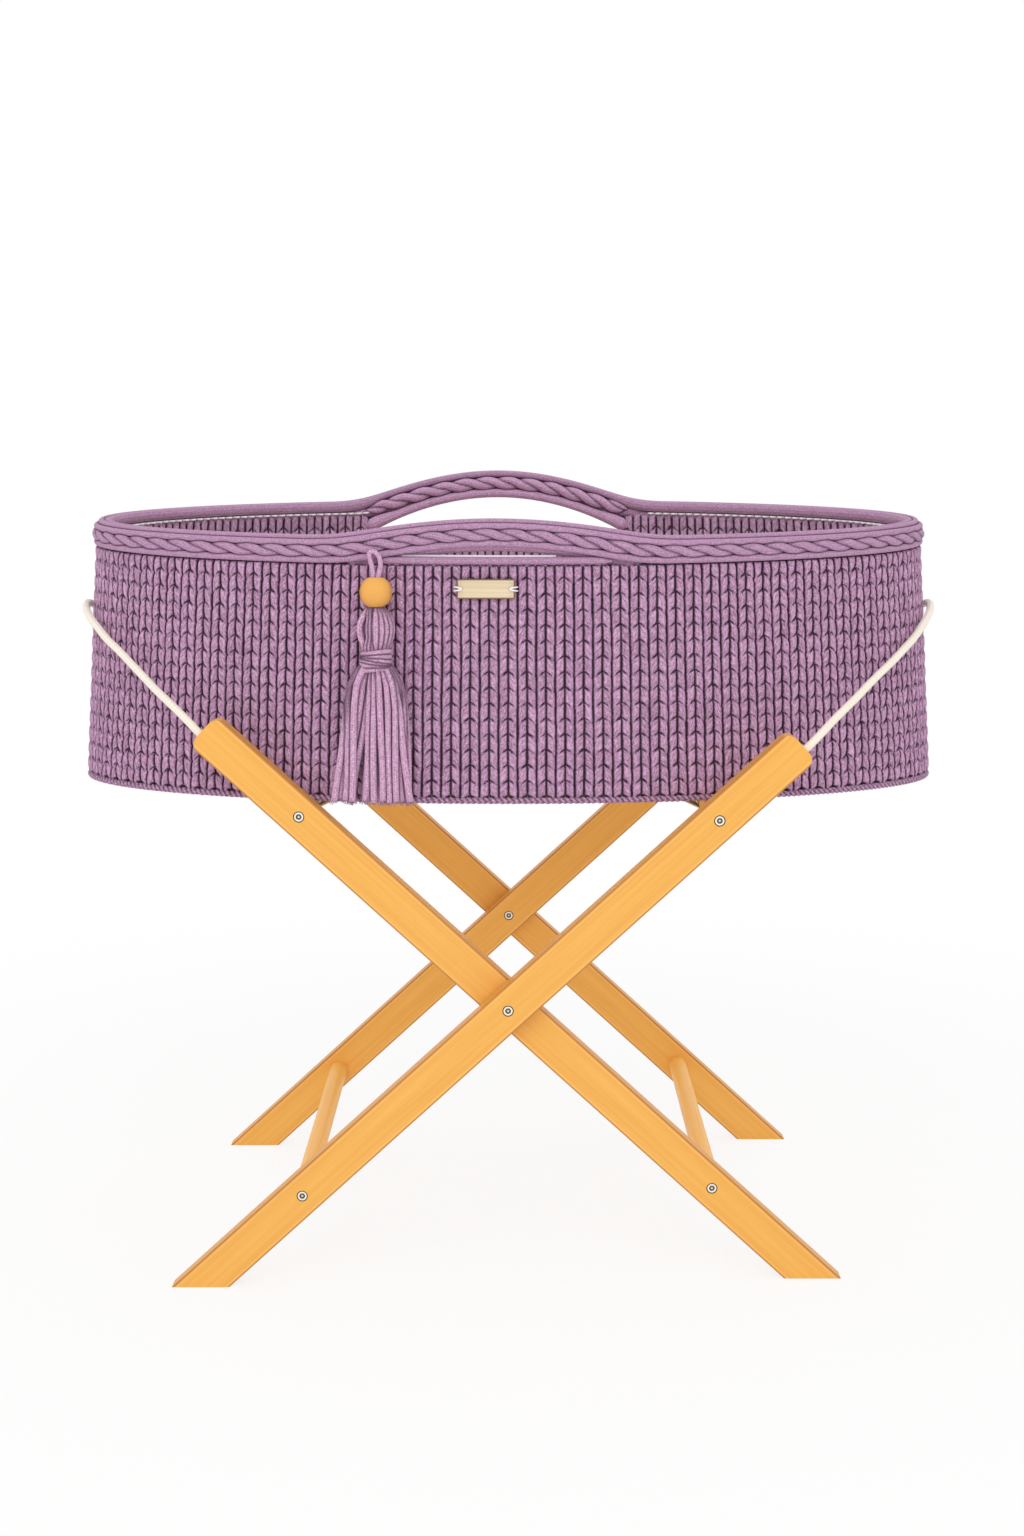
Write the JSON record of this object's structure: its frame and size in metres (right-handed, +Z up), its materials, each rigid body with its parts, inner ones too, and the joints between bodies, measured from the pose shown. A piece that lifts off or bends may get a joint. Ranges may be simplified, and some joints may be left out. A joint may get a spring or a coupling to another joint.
{
  "type": "moses basket stand",
  "caption": "Folding cross-leg wooden stand carrying an oval knitted baby basket with corded rim handles, end ropes, a tassel and a plain label plate.",
  "frame": {"origin": "on the floor under the middle of the open stand", "axes": "+X along the basket to the right of the picture, +Y from the front to the rear, +Z up"},
  "size_m": [0.804, 0.4176, 0.719],
  "materials": {
    "stand_wood": "honey stained and waxed, satin",
    "zinc_steel": "bright zinc",
    "webbing": "flat woven cotton",
    "rope": "soft cotton cord",
    "knit_yarn": "matt chunky yarn",
    "board_wood": "raw plywood",
    "label_wood": "raw, browned at its cut edge",
    "thread": "plain thread",
    "tassel_yarn": "matt yarn",
    "bead_wood": "honey stained, satin"
  },
  "bodies": {
    "right_frame": {"right_frame_front_leg": "stand_wood", "right_frame_rear_leg": "stand_wood", "right_frame_top_rod": "stand_wood", "right_frame_bottom_rod": "stand_wood", "right_frame_bolts": "zinc_steel", "right_frame_inserts": "zinc_steel", "front_pivot_sleeve": "zinc_steel", "front_pivot_screw": "zinc_steel", "front_pivot_washer": "zinc_steel", "rear_pivot_sleeve": "zinc_steel", "rear_pivot_screw": "zinc_steel", "rear_pivot_washer": "zinc_steel", "front_strap": "webbing", "rear_strap": "webbing", "right_rope": "rope"},
    "left_frame": {"left_frame_front_leg": "stand_wood", "left_frame_rear_leg": "stand_wood", "left_frame_top_rod": "stand_wood", "left_frame_bottom_rod": "stand_wood", "left_frame_bolts": "zinc_steel", "left_frame_inserts": "zinc_steel", "left_rope": "rope"},
    "basket": {"basket_wall": "knit_yarn", "left_rim": "knit_yarn", "right_rim": "knit_yarn", "front_handle": "knit_yarn", "rear_handle": "knit_yarn", "front_handle_lip": "knit_yarn", "rear_handle_lip": "knit_yarn", "base_board": "board_wood", "base_edging": "knit_yarn", "label_plate": "label_wood", "label_threads": "thread"},
    "tassel": {"tassel_loop": "tassel_yarn", "tassel_bead": "bead_wood", "tassel_head": "tassel_yarn", "tassel_binding": "tassel_yarn", "tassel_skirt": "tassel_yarn"}
  },
  "joints": [
    {"name": "stand_fold", "type": "hinge", "parent": "right_frame", "child": "left_frame", "pos_m": [0, 0, 0.2525], "axis": [0, 1, 0], "range_deg": [0, 88], "deforming": ["front_strap", "rear_strap", "right_rope", "left_rope"]},
    {"name": "basket_lift", "type": "slide", "parent": "right_frame", "child": "basket", "axis": [0, 0, 1], "range_m": [0, 0.74]},
    {"name": "tassel_swing", "type": "hinge", "parent": "basket", "child": "tassel", "pos_m": [-0.111, -0.1696, 0.63782], "axis": [-0.1348, -0.99, 0.041], "range_deg": [-4, 25]}
  ],
  "couplings": [
    {"joint": "basket_lift", "follows": "stand_fold", "m_per_rad": 0.48}
  ]
}
